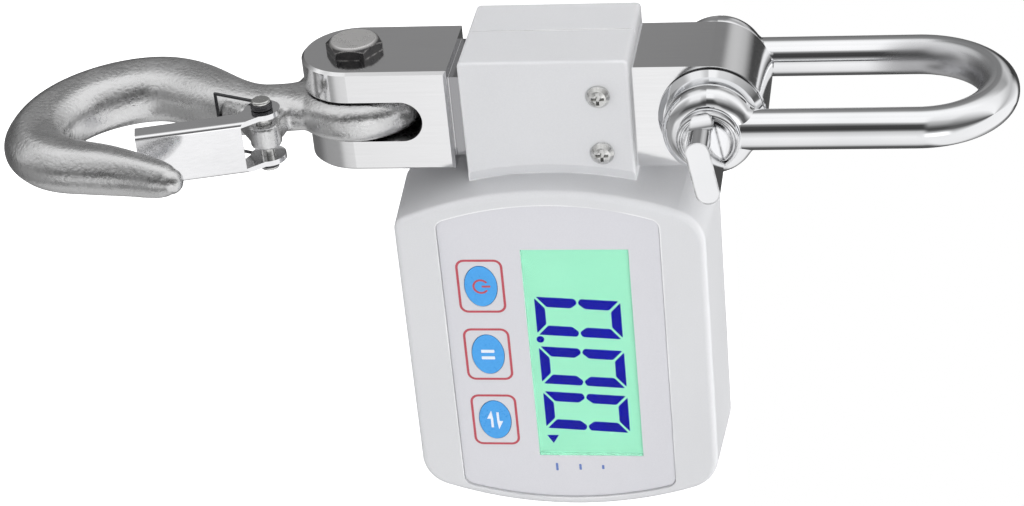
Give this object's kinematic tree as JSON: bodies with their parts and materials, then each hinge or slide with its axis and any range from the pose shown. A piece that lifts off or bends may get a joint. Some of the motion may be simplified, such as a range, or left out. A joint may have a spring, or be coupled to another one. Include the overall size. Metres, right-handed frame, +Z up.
{
  "type": "digital crane scale",
  "caption": "Hanging digital crane scale with a chromed bow shackle on a strain-gauge bar, a side display case with keys and a forged eye hook with a spring latch",
  "frame": {"origin": "inside of the shackle's crown, on its centre line, where the crane hook bears", "axes": "+Z up along the load line, -Y the side the display faces, +X the side of the bar the display case is on"},
  "size_m": [0.1402, 0.0785, 0.2785],
  "materials": {
    "shackle_chrome": "polished",
    "cell_steel": "fine ground",
    "black_steel": "black oxide",
    "zinc_screw": "zinc plated",
    "hook_zinc": "zinc plated forging",
    "latch_steel": "polished",
    "spring_steel": "drawn wire",
    "housing": "fine texture",
    "panel_film": "satin film",
    "window_clear": "clear acrylic",
    "lcd_mint": "backlit",
    "light_guide": "frosted acrylic",
    "black_rubber": "matte",
    "pink_rubber": "matte",
    "potting": "matte",
    "gauge_film": "foil",
    "inner_plastic": "moulded",
    "board_green": "solder mask",
    "chip_black": "moulded",
    "switch_plastic": "moulded",
    "socket_white": "moulded",
    "key_blue": "satin",
    "cell_jacket": "printed sleeve",
    "nickel": "nickel plated",
    "cable_jacket": "extruded",
    "wire_red": "extruded"
  },
  "bodies": {
    "shackle": {"shackle_bow": "shackle_chrome", "shackle_pin": "shackle_chrome", "shackle_washers": "nickel"},
    "scale_body": {"load_cell": "cell_steel", "gauge_foils": "gauge_film", "gauge_potting": "potting", "load_cell_cable": "cable_jacket", "cable_grommet": "black_rubber", "clevis_bolt": "black_steel", "front_shell": "housing", "rear_shell": "housing", "case_gasket": "black_rubber", "cover_screws": "zinc_screw", "case_screws": "zinc_screw", "board_screws": "zinc_screw", "overlay_panel": "panel_film", "lcd_window": "window_clear", "lcd_glass": "lcd_mint", "light_guide": "light_guide", "contact_strips": "pink_rubber", "lcd_frame": "inner_plastic", "circuit_board": "board_green", "tact_switches": "switch_plastic", "buzzer": "chip_black", "chips": "chip_black", "cable_socket": "socket_white", "batteries": "cell_jacket", "battery_springs": "nickel", "battery_plates": "nickel", "battery_wires": "wire_red"},
    "hook": {"hook": "hook_zinc", "latch_pin": "zinc_screw", "latch_spring": "spring_steel"},
    "latch": {"latch": "latch_steel"},
    "power_button": {"power_key": "key_blue", "power_plunger": "switch_plastic"},
    "hold_button": {"hold_key": "key_blue", "hold_plunger": "switch_plastic"},
    "unit_button": {"unit_key": "key_blue", "unit_plunger": "switch_plastic"},
    "battery_door": {"battery_door": "housing"}
  },
  "joints": [
    {"name": "scale_swing", "type": "hinge", "parent": "shackle", "child": "scale_body", "pos_m": [0, 0, -0.0711], "axis": [0, 1, 0], "range_deg": [-70, 120]},
    {"name": "hook_swing", "type": "hinge", "parent": "scale_body", "child": "hook", "pos_m": [0, 0, -0.1706], "axis": [1, 0, 0], "range_deg": [-75, 105]},
    {"name": "latch_open", "type": "hinge", "parent": "hook", "child": "latch", "pos_m": [0, -0.02064, -0.19354], "axis": [1, 0, 0], "range_deg": [0, 42], "stiffness_Nm_per_rad": 0.02, "springref_deg": -28.65},
    {"name": "power_press", "type": "slide", "parent": "scale_body", "child": "power_button", "axis": [0, 1, 0], "range_m": [0, 0.0005], "stiffness_N_per_m": 3000, "springref_m": -0.0002},
    {"name": "hold_press", "type": "slide", "parent": "scale_body", "child": "hold_button", "axis": [0, 1, 0], "range_m": [0, 0.0005], "stiffness_N_per_m": 3000, "springref_m": -0.0002},
    {"name": "unit_press", "type": "slide", "parent": "scale_body", "child": "unit_button", "axis": [0, 1, 0], "range_m": [0, 0.0005], "stiffness_N_per_m": 3000, "springref_m": -0.0002},
    {"name": "door_slide", "type": "slide", "parent": "scale_body", "child": "battery_door", "axis": [1, 0, 0], "range_m": [0, 0.01]}
  ]
}
